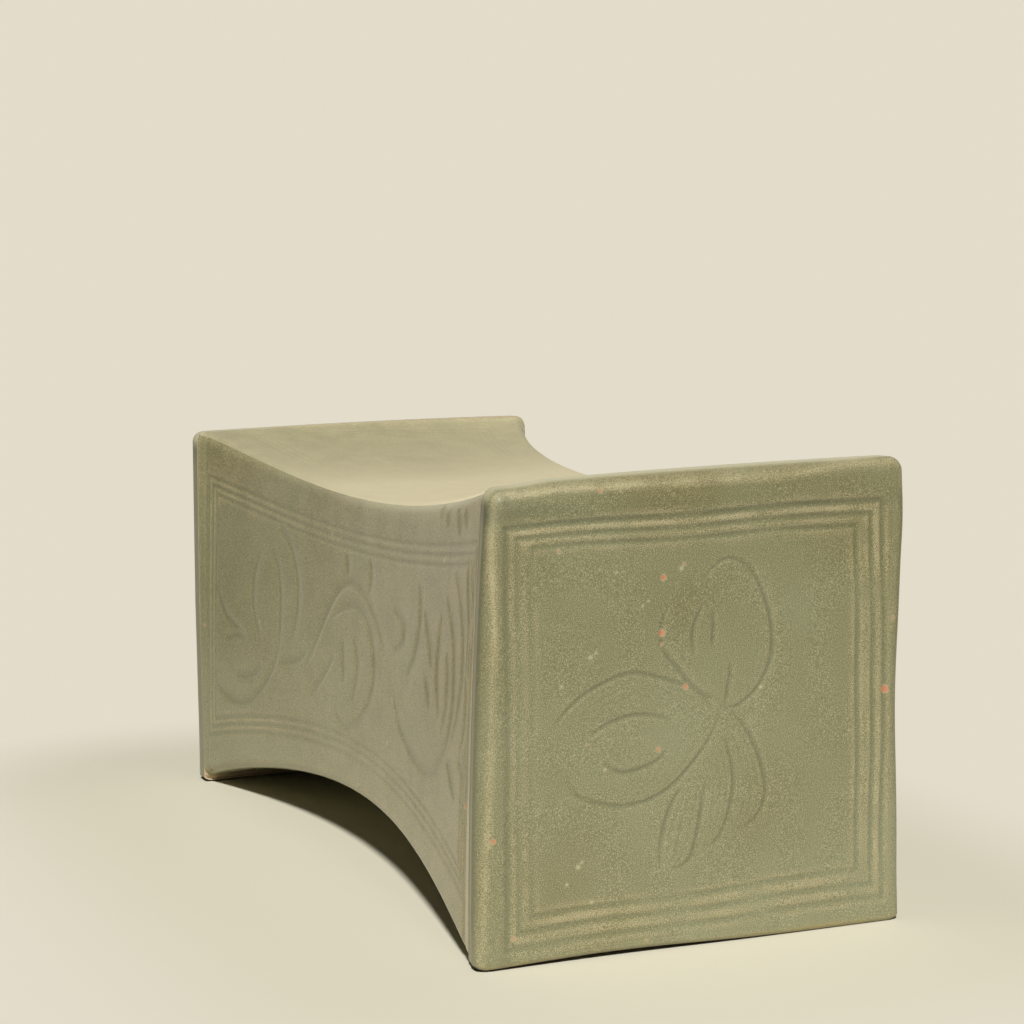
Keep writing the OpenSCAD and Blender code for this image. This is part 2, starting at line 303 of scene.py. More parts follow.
class PillowStage(bpy.types.PropertyGroup):
    """Floor, backdrop and light."""

    floor: colour("Floor", "Colour of the floor", "#dcd6c0")
    backdrop: colour("Backdrop", "Colour behind the pillow", "#e3dcca")
    sky: number("Surround", "Strength of the light from all round", 0.05)
    lamp: number("Lamp", "Power of the soft lamp, in watts", 307.0)
    lamp_size: length("Lamp size", "Diameter of the lamp", 0.55)
    lamp_gap: length("Lamp distance", "Distance of the lamp from the pillow", 5)
    paper: length("Paper", "Radius of the paper on the floor", 0.45)


def unit(vectors):
    """Vectors divided by their lengths."""
    return vectors / np.linalg.norm(vectors, axis=-1, keepdims=True)


def held(values):
    """Values held between 0 and 1."""
    return np.clip(values, 0, 1)


def bell(gap, width):
    """Bell that is 1 where the gap is 0 and falls as exp(-(gap / width) squared)."""
    return np.exp(-((gap / width) ** 2))


def placed(x, outline):
    """Outline in (y, z) set at stations x, as (row, station, xyz)."""
    return np.concatenate([np.broadcast_to(x[:, None], (*outline.shape[:2], 1)), outline], -1)


def section_corners(form, x):
    """Sharp corners of the outer section at stations x, as (corner, station, (y, z)).

    Each size at the ends gives way by its own dip or waist times (1 - (x / slab end) squared) to a power.
    Towards the left end the base rises by a step, as the fourth power of x.
    """
    def waist(flare):
        return held(1 - (x / SLAB_END) ** 2) ** flare

    top = form.end_width / 2 - form.top_waist * waist(form.top_flare)
    foot = form.end_width / 2 - form.foot_waist * waist(form.foot_flare)
    base = form.base_arch * waist(form.base_flare) + form.left_step * held(-x / SLAB_END) ** 4
    front = form.front_height - form.front_dip * waist(form.front_flare)
    back = form.back_height - form.back_dip * waist(form.back_flare)
    return np.stack([np.stack([-top, top, foot, -foot]), np.stack([front, back, base, base])], -1)


def half_edge(corner, before, after, radius):
    """Rounded corner from just past its middle to where it meets the straight towards `after`.

    The centre lies on the corner's bisector at radius / sin(half angle), and the arc turns from the
    bisector until it is square to the straight. The first row is one step beyond the middle.
    """
    towards = unit(after - corner)
    bisector = unit(unit(before - corner) + towards)
    half = np.arccos((bisector * towards).sum(-1, keepdims=True))
    centre = corner + bisector * radius / np.sin(half)
    square = unit(towards - bisector * np.cos(half))
    turn = np.linspace(-1 / ARC_STEPS, 1, ARC_STEPS + 2)[:, None, None] * (math.pi / 2 - half)
    return centre + radius * (square * np.sin(turn) - bisector * np.cos(turn))


def slab_skin(form, side, x, rows):
    """Outer skin of a slab at stations x: half an edge, a straight and half an edge."""
    corners = section_corners(form, x)
    first, last = corners[side], corners[(side + 1) % 4]
    start = half_edge(first, corners[side - 1], last, form.edge_radius)
    end = half_edge(last, corners[(side + 2) % 4], first, form.edge_radius)[::-1]
    share = np.linspace(0, 1, rows + 1)[1:-1, None, None]
    outline = np.concatenate([start, start[-1] + (end[0] - start[-1]) * share, end])
    return placed(x, outline)


def inner_corners(form, x):
    """Inner corners of the section at stations x, one slab's thickness in from both faces."""
    return section_corners(form, x) + INWARD[:, None] * form.slab_thickness


def slab_inside(form, side, x, shares):
    """Inner face of a slab at stations x, from its last corner back, in rows at shares of its width."""
    corners = inner_corners(form, x)
    first, last = corners[side], corners[(side + 1) % 4]
    along = unit(last - first) * SLIP / math.sqrt(2)
    share = np.asarray(shares)[:, None, None]
    outline = (last - along) * (1 - share) + (first + along) * share
    return placed(x, outline)


def stations(count):
    """Stations along a slab, (3 s - s cubed) / 2 of its half length, so that they close up at the ends."""
    s = np.linspace(-1, 1, count + 1)
    return SLAB_END * (3 * s - s**3) / 2


def by_hand(form, points):
    """Points as an uneven hand left them, each change fading out evenly towards the other end.

    At the right end the front edge draws in, most at the top and at the joint, the back edge draws in by
    one bell and out by another, and the top edge rises in a parabola and falls evenly at its front corner.
    At the left end the front leans out, the back draws in and the top rises in a parabola. Both feet rise
    by a bell, and both end faces swell and sink by sines and fall back over the last 5 mm to the front and
    top edge as a parabola.
    """
    x, y, z = np.moveaxis(points, -1, 0)
    near = (1 + x / PANEL_FACE) / 2
    far = 1 - near
    high = np.clip(z / form.back_height, 0, 1.1)
    front = held(-2 * y / form.end_width) ** 2
    back = held(2 * y / form.end_width) ** 2
    draw = form.foot_draw + (form.top_draw - form.foot_draw) * high**2
    draw = draw + form.pinch * held((117.5 * MM - x) / (3 * MM)) * held(x / (55 * MM) - 1.1)
    wave = form.back_draw * bell(z - 58 * MM, 24 * MM) - form.back_bulge * bell(z - 103 * MM, 9 * MM)
    lean = front * form.spread * held(2 * high) + far**5 * back * form.left_draw * high**4
    crown = near * form.crown * (1 - ((y - 18 * MM) / (70 * MM)) ** 2)
    crown = crown + far * form.left_crown * (1 - ((y + 12 * MM) / (60 * MM)) ** 2)
    crown = crown - near * form.corner_drop * held(-y / (10 * MM) - 4)
    lift = form.foot_lift * bell(y + 21 * MM, 32 * MM) - form.foot_sag
    swell = 0.3 * MM * np.sin(y / (14 * MM) + 1) * np.sin(z / (17 * MM) + 0.5)
    top = form.front_height + (form.back_height - form.front_height) * (y / form.end_width + 0.5)
    from_edge = np.minimum(y + form.end_width / 2, top - z)
    worn = form.worn_edge * held(1 - from_edge / (5 * MM)) ** 2
    return np.stack([
        x + (swell - worn) * (x / PANEL_FACE) ** 31,
        y + near * (front * draw - back * wave) - far * lean,
        z + high**4 * crown + (near**9 + far**9) * held(1 - 8 * high) * lift,
    ], -1)


def curve(points, steps=8):
    """Smooth line through points: a cubic between each two.

    Its slope at a point is half the way from the point before to the one after, and past each end the
    last but one point is mirrored.
    """
    knots = np.asarray(points, float)
    knots = np.vstack([2 * knots[0] - knots[1], knots, 2 * knots[-1] - knots[-2]])
    a, b, c, d = knots[:-3], knots[1:-2], knots[2:-1], knots[3:]
    t = np.linspace(0, 1, steps, endpoint=False)[:, None, None]
    line = b + t / 2 * (c - a + t * (2 * a - 5 * b + 4 * c - d + t * (3 * b - a - 3 * c + d)))
    return np.vstack([np.swapaxes(line, 0, 1).reshape(-1, 2), knots[-2]])


def comb(first, last, count):
    """Lines of a comb's teeth between two lines, at even shares of the way from one to the other."""
    def even(line):
        run = np.insert(np.cumsum(np.linalg.norm(np.diff(line, axis=0), axis=1)), 0, 0)
        at = np.linspace(0.03, 0.97, 40) * run[-1]
        return np.stack([np.interp(at, run, line[:, k]) for k in (0, 1)], -1)

    shares = np.arange(1, count + 1) / (count + 1)
    return [even(first) * (1 - share) + even(last) * share for share in shares]


def gap_to_line(p, q, line):
    """Distance of points from a line, positive on its left, and at which share of its length they lie."""
    step = np.diff(line, axis=0)
    size = np.linalg.norm(step, axis=1)
    off = np.stack([p, q], -1)[:, None] - line[:-1]
    at = held((off * step).sum(-1) / size**2)
    gap = np.linalg.norm(off - at[..., None] * step, axis=-1)
    nearest = gap.argmin(1)
    row = np.arange(len(p))
    turn = step[nearest, 0] * off[row, nearest, 1] - step[nearest, 1] * off[row, nearest, 0]
    run = np.cumsum(size) - size
    share = (run[nearest] + at[row, nearest] * size[nearest]) / size.sum()
    return gap[row, nearest] * np.sign(turn), share


def incise(p, q, lines, width, depth, fade=0.35, slant=0.0):
    """Depth that lines cut at face points (p, q), all in metres.

    Across a line the cut is a bell, wider on one side by the slant. Along it the depth follows
    4 s (1 - s) to the power fade, where s is the share of the line's length.
    """
    cut = np.zeros(p.shape)
    reach = 2.5 * width * (1 + slant)
    for line in lines:
        low, high = line.min(0) - reach, line.max(0) + reach
        near = (p > low[0]) & (p < high[0]) & (q > low[1]) & (q < high[1])
        if near.any():
            gap, share = gap_to_line(p[near], q[near], line)
            taper = held(4 * share * (1 - share)) ** fade
            wide = width * (0.5 + 0.5 * taper) * np.where(gap > 0, 1 + slant, 1 - slant)
            cut[near] = np.maximum(cut[near], depth * taper * bell(gap, wide))
    return cut


def dots(p, q, marks):
    """Round marks at face points: a mark's strength at its middle, falling as a bell of its radius."""
    field = np.zeros(p.shape)
    for mark_p, mark_q, radius, *strength in marks:
        away = (p - mark_p * MM) ** 2 + (q - mark_q * MM) ** 2
        field = np.maximum(field, (strength or [1])[0] * np.exp(-away / (radius * MM) ** 2))
    return field


def soften(field, rounds=24):
    """Field with each value mixed half and half with its four neighbours' mean, over and over."""
    for _ in range(rounds):
        wide = np.pad(field, 1, mode="edge")
        around = wide[:-2, 1:-1] + wide[2:, 1:-1] + wide[1:-1, :-2] + wide[1:-1, 2:]
        field = field / 2 + around / 8
    return field


def grid_normals(points):
    """Unit normals of a grid of points: the cross product of its differences along and across."""
    return unit(np.cross(np.gradient(points, axis=1), np.gradient(points, axis=0)))


def grid_faces(index):
    """Four-cornered faces of a grid of vertex numbers."""
    corners = [index[:-1, :-1], index[:-1, 1:], index[1:, 1:], index[1:, :-1]]
    return np.stack(corners, -1).reshape(-1, 4)


def caps(index):
    """Faces that close a loft at its first and last station."""
    return [index[:, 0].tolist(), index[::-1, -1].tolist()]


def make_piece(name, node, points, skin, rest, materials, normals=None, values=None):
    """Closed piece from vertices, the faces of its glazed skin and the faces that close it behind.

    The skin takes the first material and the given normals, and the rest the last material.
    """
    mesh = bpy.data.meshes.new(name)
    skin = np.asarray(skin)
    mesh.from_pydata(points.tolist(), [], skin.tolist() + rest)
    count = len(mesh.polygons)
    behind = np.arange(count) >= len(skin)
    mesh.polygons.foreach_set("use_smooth", ~behind)
    for material in materials:
        mesh.materials.append(material)
    mesh.polygons.foreach_set("material_index", behind * (len(materials) - 1))
    for key, value in (values or {}).items():
        spread = np.zeros(len(points))
        spread[:value.size] = value.ravel()
        mesh.attributes.new(key, "FLOAT", "POINT").data.foreach_set("value", spread)
    if normals is not None:
        corner_normals = np.zeros((len(mesh.loops), 3))
        corner_normals[:skin.size] = normals.reshape(-1, 3)[skin.ravel()]
        mesh.normals_split_custom_set(corner_normals.tolist())
    mesh.update()
    if mesh.validate():
        raise RuntimeError(f"{name} has faulty faces")
    piece = bpy.data.objects.new(name, mesh)
    bpy.context.scene.collection.objects.link(piece)
    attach(piece, "root")
    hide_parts(node)


def slab_borders(cuts, from_first, from_last, x, depth):
    """Cut of a slab's border lines: three along each long edge and three across each end."""
    cut = np.zeros(from_first.shape)
    ends = PANEL_FACE - np.abs(x)
    for line in range(3):
        inset = cuts.border_margin + line * cuts.border_pitch + cuts.border_fall * (x / SLAB_END) ** 2
        inside = ends > inset - cuts.border_width
        within = np.minimum(from_first, from_last) > inset - cuts.border_width
        for gap, kept in ((from_first, inside), (from_last, inside), (ends, within)):
            cut = np.maximum(cut, depth * bell(gap - inset, cuts.border_width) * kept)
    return cut


def ridges(cut):
    """How far a face stands up beside its cuts: the softened cut less the cut, as a share of 0.12 mm."""
    return held((soften(cut) - cut) / (0.12 * MM))


def drill(points, index, bore):
    """Faces of a grid without those in a round hole at its middle, and the hole's rim in order of angle.

    The vertices round the block of cells that is left out are drawn onto a circle about the Z axis.
    """
    row, station = index.shape[0] // 2, index.shape[1] // 2
    up, along = BORE_CELLS
    kept = np.ones((index.shape[0] - 1, index.shape[1] - 1), bool)
    kept[row - up:row + up, station - along:station + along] = False
    block = index[row - up:row + up + 1, station - along:station + along + 1]
    rim = np.unique(np.concatenate([block[0], block[-1], block[:, 0], block[:, -1]]))
    place = points.reshape(-1, 3)
    place[rim, :2] = unit(place[rim, :2]) * bore
    rim = rim[np.argsort(np.arctan2(place[rim, 1], place[rim, 0]))]
    return grid_faces(index)[kept.ravel()], rim


def make_slab(context, name, node, side, rows, draw, bore=0.0):
    """One slab: its skin with the cuts that `draw` gives, closed by its mitres, inner face and ends.

    `draw` takes the skin's points and the distances from its first and last edge, and gives the cut and
    the shares of each kind of glaze. A bore is the radius of a hole through the slab.
    """
    form, cuts = context.scene.pillow_form, context.scene.pillow_cuts
    x = stations(STATIONS)
    smooth = by_hand(form, slab_skin(form, side, x, rows))
    run = np.cumsum(np.linalg.norm(np.diff(smooth, axis=0, prepend=smooth[:1]), axis=-1), axis=0)
    cut, values = draw(smooth, run - run[1], run[-2] - run)
    values["pooled"] = held(cut / cuts.full_pool)
    points = smooth - grid_normals(smooth) * (cut + cuts.slab_pit * values.get("pit", 0))[..., None]
    # The first and last row lie beyond the slab and only serve its normals
    normals = grid_normals(points)[1:-1]
    values = {key: value[1:-1] for key, value in values.items()}
    points = points[1:-1]
    shares = np.array((0, 1))
    if bore:
        shares = np.concatenate([(0,), 0.5 + np.linspace(-0.04, 0.04, 2 * BORE_CELLS[0] + 1), (1,)])
    vertices = np.concatenate([points, slab_inside(form, side, x, shares)])
    index = np.arange(vertices[..., 0].size).reshape(vertices.shape[:2])
    outer, inner = np.split(index, [len(points)])
    behind = [grid_faces(np.vstack([outer[-1], inner[0]])), grid_faces(np.vstack([inner[-1], outer[0]]))]
    if bore:
        skin, rim = drill(vertices, outer, bore)
        back, back_rim = drill(vertices, inner, bore)
        behind += [back, grid_faces(np.vstack([np.append(back_rim, back_rim[0]), np.append(rim, rim[0])]))]
    else:
        skin = grid_faces(outer)
        behind.append(grid_faces(inner))
    rest = np.vstack(behind).tolist() + caps(index)
    materials = (celadon(context.scene.pillow_glaze), stoneware(context.scene.pillow_glaze))
    make_piece(name, node, vertices.reshape(-1, 3), skin, rest, materials, normals, values)


def panel_grid(form, soft=0):
    """Square grid bent into an end panel's skin: rings of a flat face, an oval rim and a straight side.

    A ring's shape is a square with rounded corners, walked by length, so a grid's corner lands on the
    middle of a rounded corner. The rim is deeper along the front and the top where soft is 1. Gives y, z,
    the depth behind the face and the inset from the edge.
    """
    half, edge, rim = form.end_width / 2, form.edge_radius, form.rim_radius
    face = np.arange(FACE_RINGS + 1) / FACE_RINGS
    turn = np.arange(1, RIM_RINGS + 1) / RIM_RINGS * math.pi / 2
    side = np.arange(1, SIDE_RINGS + 1) / SIDE_RINGS
    inset = np.concatenate([half - (half - rim) * face, rim * (1 - np.sin(turn)), 0 * side])
    rise = np.concatenate([0 * face, 1 - np.cos(turn), 1 + 0 * side])
    run = np.concatenate([0 * face, 0 * turn, side])
    radius = np.concatenate([(edge - rim) * face**2, edge - rim * (1 - np.sin(turn)), edge + 0 * side])
    rings = len(inset) - 1
    up, across = np.meshgrid(np.arange(-rings, rings + 1), np.arange(-rings, rings + 1), indexing="ij")
    ring = np.maximum(abs(up), abs(across))
    size, bend = half - inset[ring], radius[ring]
    straight = size - bend
    walk = np.minimum(abs(up), abs(across)) / np.maximum(ring, 1) * (straight + bend * math.pi / 4)
    angle = np.clip(walk - straight, 0, None) / np.maximum(bend, 1e-9)
    along = np.minimum(walk, straight) + bend * np.sin(angle)
    out = straight + bend * np.cos(angle)
    wide = abs(across) >= abs(up)
    y = np.where(wide, out, along) * np.sign(across)
    z = np.where(wide, along, out) * np.sign(up)
    height = form.front_height + (form.back_height - form.front_height) * (y / form.end_width + 0.5)
    z = (z / form.end_width + 0.5) * height
    z = np.interp(z, (0, rim, 4 * rim, 1), (0, form.foot_rim, 4 * rim, 1))
    soft = soft * held(np.maximum(-y / (12 * MM) - 3.5, z / (10 * MM) - 10))
    soft = soft * held(z / (12 * MM) - 0.2) * held(6 - y / (9 * MM))
    deep = form.foot_rim + (form.rim_depth - form.foot_rim) * held(z / (12 * MM))
    deep = deep + (form.soft_rim - form.rim_depth) * soft
    back = deep * rise[ring] + (PANEL_FACE - PANEL_START - deep) * run[ring]
    return y, z, back, inset[ring]


def rim_loop(grid):
    """Values of a grid all round its border."""
    return np.concatenate([grid[0, :-1], grid[:-1, -1], grid[-1, :0:-1], grid[:0:-1, 0]])


def sink(form, outline, depth):
    """Outline of an end drawn in towards its middle, by about a depth all round."""
    middle = np.array((0, 0, form.front_height / 2))
    shrunk = middle + (outline - middle) * (1 - depth / (form.end_width / 2))
    return np.column_stack([outline[:, 0], shrunk[:, 1:]])


def panel_cuts(cuts, p, q):
    """Depths that an end panel's border lines and its spray cut at face points (p, q).

    The border lines waver and swell by sines, and each side of the border has its own depth.
    """
    drawn = {key: curve(points) * MM for key, points in END_SPRAY.items()}
    combed = [line for first, last, count in END_COMBS for line in comb(drawn[first], drawn[last], count)]
    frames = np.array(END_BORDER) * MM
    wobble = 0.25 * MM * np.sin(p / (9 * MM) + 2 * np.sin(q / (13 * MM)))
    border = np.zeros(p.shape)
    for side, share in enumerate(BORDER_DEPTHS):
        lines = [corners[[side, (side + 1) % 4]] for corners in frames]
        depth = cuts.border_depth * share
        border = np.maximum(border, incise(p + wobble, q + wobble, lines, cuts.border_width, depth, fade=0))
    border = border * (0.8 + 0.2 * np.sin(p / (6 * MM) + q / (8 * MM) + 2 * np.sin((p - q) / (15 * MM))))
    strokes = incise(p, q, drawn.values(), cuts.end_width, cuts.end_depth)
    return border, np.maximum(strokes, incise(p, q, combed, cuts.comb_width, cuts.comb_depth))


def panel_glaze(form, cuts, p, q, back, inset, border, strokes):
    """Shares of each kind of glaze at an end panel's points, `back` from its face and `inset` from its edge.

    The glaze runs thin off the rim, in crests of bells along the front edge and the top, and gathers, in
    bells, below the top rim and beside the front edge. The sides are darker, a painted highlight runs pale
    along the top rim and painted shade darkens the feet's undersides.
    """
    flat = back == 0
    across, height, inset = p / MM, q / MM, inset / MM
    under_top = form.front_height + (form.back_height - form.front_height) * (p / form.end_width + 0.5) - q
    top = held(across / 8 + 6.5) * held(2 - under_top / (6 * MM))
    brink = np.maximum(top, held(2 - under_top / (2.5 * MM)))
    front = p < -0.4 * form.end_width
    middle = np.where(front, np.interp(height, (0, 20, 40, 80, 98), (1.2, 1.9, 3, 3, 1.2)), 2.6)
    strength = np.where(front, np.interp(height, (15, 40, 58, 76, 105), (0.8, 1.1, 0.6, 1, 2.2)), 0.3)
    crest = strength * bell(inset - middle, 1.1) * held(1 - back / (4 * MM))
    middle = np.interp(across, (-48, 0, 24, 42), (1.9, 3, 3, 1))
    strip = 0.4 + bell(inset - middle, 0.9) * (1 - 0.5 * held(across / 40 + 0.75))
    crest = crest * (1 - top) + strip * held(middle + 1.7 - inset) * top
    inner_lines = held(inset - 12.2) * held(height / 8 - 11.5)
    ridged = 1.5 * (1 - 0.55 * inner_lines) * ridges(border) + 0.25 * ridges(strokes)
    # Darker on the sides, outside the top rim
    sides = 0.6 * held((back - 1.5 * MM) / (2 * MM)) * (1 - brink)
    below = (0.25 + 0.2 * held(-across / 25 - 1)) * bell(form.front_height / MM - height - 6.8, 2.8)
    beside = 0.3 * bell(across + form.end_width / 2 / MM - 7.5, 1.8)
    # Painted highlight: pale along the top rim's rounding, and a little where the front crest is strongest
    rim_highlight = 0.6 * brink * held(back / (2 * MM) - 1) + 0.2 * held(crest - 1)
    foot = np.exp(-(((q + form.foot_sag) / (1.5 * MM)) ** 4))
    cut = np.maximum(border, strokes) * flat
    return {
        "pooled": held(np.maximum(cut / cuts.full_pool, sides) + np.maximum(below, beside)),
        "thin_and_sheen": np.maximum(np.clip(ridged, 0, 1.5) * flat, crest),
        "bare": 0.7 * foot * held(2 - back / (0.5 * MM)),
        # Painted shade: near black on the feet's undersides, in the gap that lies in shade
        "painted_foot_shade": foot * held(back / (0.5 * MM) - 1),
        "pit": dots(p, q, END_PITS),
        "fleck_and_highlight": np.maximum(0.6 * dots(p, q, END_FLECKS), rim_highlight),
        "polish": -held(np.maximum(crest, 4.5 - inset)) - 2 * dots(p, q, DULL_CORNER),
    }


def make_panel(context, name, node, end):
    """One end panel, at the right (end 1) or as its mirror image at the left (end -1)."""
    form, cuts = context.scene.pillow_form, context.scene.pillow_cuts
    y, z, back, inset = panel_grid(form, soft=(end + 1) // 2)
    smooth = by_hand(form, np.stack([end * (PANEL_FACE - back), y, z], -1))
    p, q = smooth[..., 1], smooth[..., 2]
    border, strokes = panel_cuts(cuts, p, q)
    values = panel_glaze(form, cuts, p, q, back, inset, border, strokes)
    cut = np.maximum(border, strokes) * (back == 0) + cuts.end_pit * values["pit"]
    points = smooth - end * grid_normals(smooth) * cut[..., None]
    normals = end * grid_normals(points).reshape(-1, 3)
    index = np.arange(p.size).reshape(p.shape)
    # Behind the rim a lip of glaze bridges the joint to the slabs, over the slip that fills it
    edge = rim_loop(index)[::-end]
    points = points.reshape(-1, 3)
    rings = []
    for sunk, at in ((0, SLAB_END), (0.5, SLAB_END), (0.5, PANEL_START)):
        rings.append(sink(form, points[edge], sunk * MM))
        rings[-1][:, 0] += end * (at - PANEL_START)
    lip = p.size + np.arange(3 * len(edge)).reshape(3, -1)
    loops = np.vstack([edge, lip])
    loops = np.hstack([loops, loops[:, :1]])
    skin = np.vstack([grid_faces(index)[:, ::end], grid_faces(loops[:2])])
    rest = grid_faces(loops[1:]).tolist() + [lip[-1].tolist()]
    values = {key: np.append(value, np.tile(value.ravel()[edge], 3)) for key, value in values.items()}
    normals = np.concatenate([normals, np.tile(normals[edge], (3, 1))])
    points = np.concatenate([points, *rings])
    materials = (celadon(context.scene.pillow_glaze), stoneware(context.scene.pillow_glaze))
    make_piece(name, node, points, skin, rest, materials, normals, values)


def add_node(tree, kind, inputs=None, **settings):
    """Add a shader node with its settings; inputs maps sockets to values, or to outputs to link from.

    A node among the inputs stands for its first output.
    """
    node = tree.nodes.new("ShaderNode" + kind)
    for key, value in settings.items():
        setattr(node, key, value)
    for key, value in (inputs or {}).items():
        if isinstance(value, bpy.types.Node):
            value = value.outputs[0]
        if isinstance(value, bpy.types.NodeSocket):
            tree.links.new(value, node.inputs[key])
        else:
            node.inputs[key].default_value = value
    return node


def new_material(name):
    """Empty node material, or the one of that name with its nodes cleared."""
    material = bpy.data.materials.get(name) or bpy.data.materials.new(name)
    material.use_nodes = True
    material.node_tree.nodes.clear()
    return material


def per_metre(millimetres):
    """Pattern scale at which one feature is about that many millimetres wide."""
    return 1 / (millimetres * MM)


def celadon(glaze):
    """Celadon glaze, fired over stoneware."""
    name = "celadon_glaze_fired"
    if name in bpy.data.materials:
        return bpy.data.materials[name]
    # A feldspar and ash glaze, dipped and fired without air: tiny crystals and bubbles make it a
    # satin grain of pale and dark, it drifts from grey green to olive, runs thin and tan off edges
    # and ridges, and lies thick and dark in the cuts. Painted sheen makes it paler and tan on the headrest
    # and towards the walls' right end, painted highlights run pale on rims and edges, and painted shade
    # darkens the feet's undersides
    material = new_material(name)
    tree = material.node_tree
    place = add_node(tree, "TexCoord").outputs["Object"]
    thin_and_sheen, pooled, bare, painted_foot_shade, pit, fleck_and_highlight, polish, sheen_ramp = (
        add_node(tree, "Attribute", attribute_name=key).outputs["Fac"]
        for key in ("thin_and_sheen", "pooled", "bare", "painted_foot_shade", "pit", "fleck_and_highlight", "polish", "sheen_ramp"))
    grain = add_node(tree, "TexNoise", {"Vector": place, "Scale": per_metre(0.24), "Detail": 1.0})
    chips = add_node(tree, "TexNoise", {"Vector": place, "Scale": per_metre(0.9), "Detail": 3.0})
    clouds = add_node(tree, "TexNoise", {"Vector": place, "Scale": per_metre(8), "Detail": 4.0})
    drift = add_node(tree, "TexNoise", {"Vector": place, "Scale": per_metre(45), "Detail": 3.0})
    height = add_node(tree, "SeparateXYZ", {"Vector": place}).outputs["Z"]
    # More olive higher up and greyer green low down, by height alone
    height_drift = add_node(tree, "MapRange", {
        "Value": height, "From Max": 118 * MM, "To Min": -0.12, "To Max": 0.12})
    drifted = add_node(tree, "Math", {0: drift, 1: height_drift}, operation="ADD")
    patchy = add_node(tree, "MapRange", {
        "Value": clouds, "From Min": 0.35, "From Max": 0.65, "To Min": 0.4, "To Max": 1.0})
    # worn carries the thin glaze on edges and ridges and the painted sheen, made patchy
    worn = add_node(tree, "Math", {0: thin_and_sheen, 1: patchy}, operation="MULTIPLY")
    tan = add_node(tree, "Math", {0: worn, 1: 0.55}, operation="MULTIPLY")
    bare_grain = add_node(tree, "Math", {0: worn, 1: 0.16, 2: grain}, operation="MULTIPLY_ADD")
    wiped = add_node(tree, "Math", {0: bare, 1: patchy}, operation="MULTIPLY")
    # A burst bubble has a ragged pale rim round the clay in it
    ragged = add_node(tree, "Math", {0: chips, 1: pit}, operation="MULTIPLY")
    # Each colour over the last: what its share follows, from which value to which, its most and the colour
    shade = glaze.grey_green
    for value, start, full, most, tint in (
        (drifted, 0.3, 0.7, 1, glaze.olive),
        (tan, 0, 1, 1, glaze.thin_and_sheen),
        (bare_grain, 0.52, 0.72, 0.75, glaze.pale_grain),
        (grain, 0.48, 0.28, 0.5, glaze.dark_grain),
        (pooled, 0.08, 1, 0.9, glaze.pooled),
        (wiped, 0, 1, 1, glaze.scorched),
        # Painted shade: near black on the feet's undersides
        (painted_foot_shade, 0, 1, 1, glaze.painted_foot_shade),
        (ragged, 0.08, 0.22, 0.5, glaze.pale_grain),
        (ragged, 0.16, 0.34, 0.95, glaze.pit),
        # Pale flecks, with painted highlights and painted sheen
        (fleck_and_highlight, 0, 1, 1, glaze.fleck_and_highlight),
    ):
        share = add_node(tree, "MapRange", {
            "Value": value, "From Min": start, "From Max": full, "To Max": most})
        shade = add_node(tree, "MixRGB", {"Fac": share, "Color1": shade, "Color2": tint})
    # The satin is duller where polish is below 0, and use has rubbed the headrest to a hazy sheen
    satin = add_node(tree, "MapRange", {"Value": clouds, "To Min": 0.2, "To Max": 0.27})
    gloss = add_node(tree, "Math", {0: polish, 1: -0.1, 2: satin}, operation="MULTIPLY_ADD")
    sheen = add_node(tree, "Math", {0: sheen_ramp, 1: 0.6, 2: 0.09}, operation="MULTIPLY_ADD")
    spread = add_node(tree, "Math", {0: sheen_ramp, 1: 0.3, 2: 0.4}, operation="MULTIPLY_ADD")
    bumps = add_node(tree, "Bump", {"Height": grain, "Distance": 0.012 * MM, "Strength": 0.8})
    shader = add_node(tree, "BsdfPrincipled", {
        "Base Color": shade, "Roughness": gloss, "IOR": 1.5, "Normal": bumps,
        "Sheen Weight": sheen, "Sheen Roughness": spread, "Sheen Tint": glaze.sheen})
    add_node(tree, "OutputMaterial", {"Surface": shader})
    return material


def stoneware(glaze):
    """Stoneware clay, rolled into slabs and ropes, joined with slip and fired bare."""
    name = "stoneware_clay_fired"
    if name in bpy.data.materials:
        return bpy.data.materials[name]
    # Bare clay is dead matt, buff with a fine sandy grain
    material = new_material(name)
    tree = material.node_tree
    place = add_node(tree, "TexCoord").outputs["Object"]
    sand = add_node(tree, "TexNoise", {"Vector": place, "Scale": per_metre(0.8), "Detail": 3.0})
    dark = (*(channel * 0.8 for channel in glaze.clay[:3]), 1)
    body = add_node(tree, "MixRGB", {"Fac": sand, "Color1": dark, "Color2": glaze.clay})
    bumps = add_node(tree, "Bump", {"Height": sand, "Distance": 0.15 * MM, "Strength": 0.7})
    shader = add_node(tree, "BsdfPrincipled", {
        "Base Color": body, "Roughness": 0.85, "IOR": 1.5, "Normal": bumps})
    add_node(tree, "OutputMaterial", {"Surface": shader})
    return material


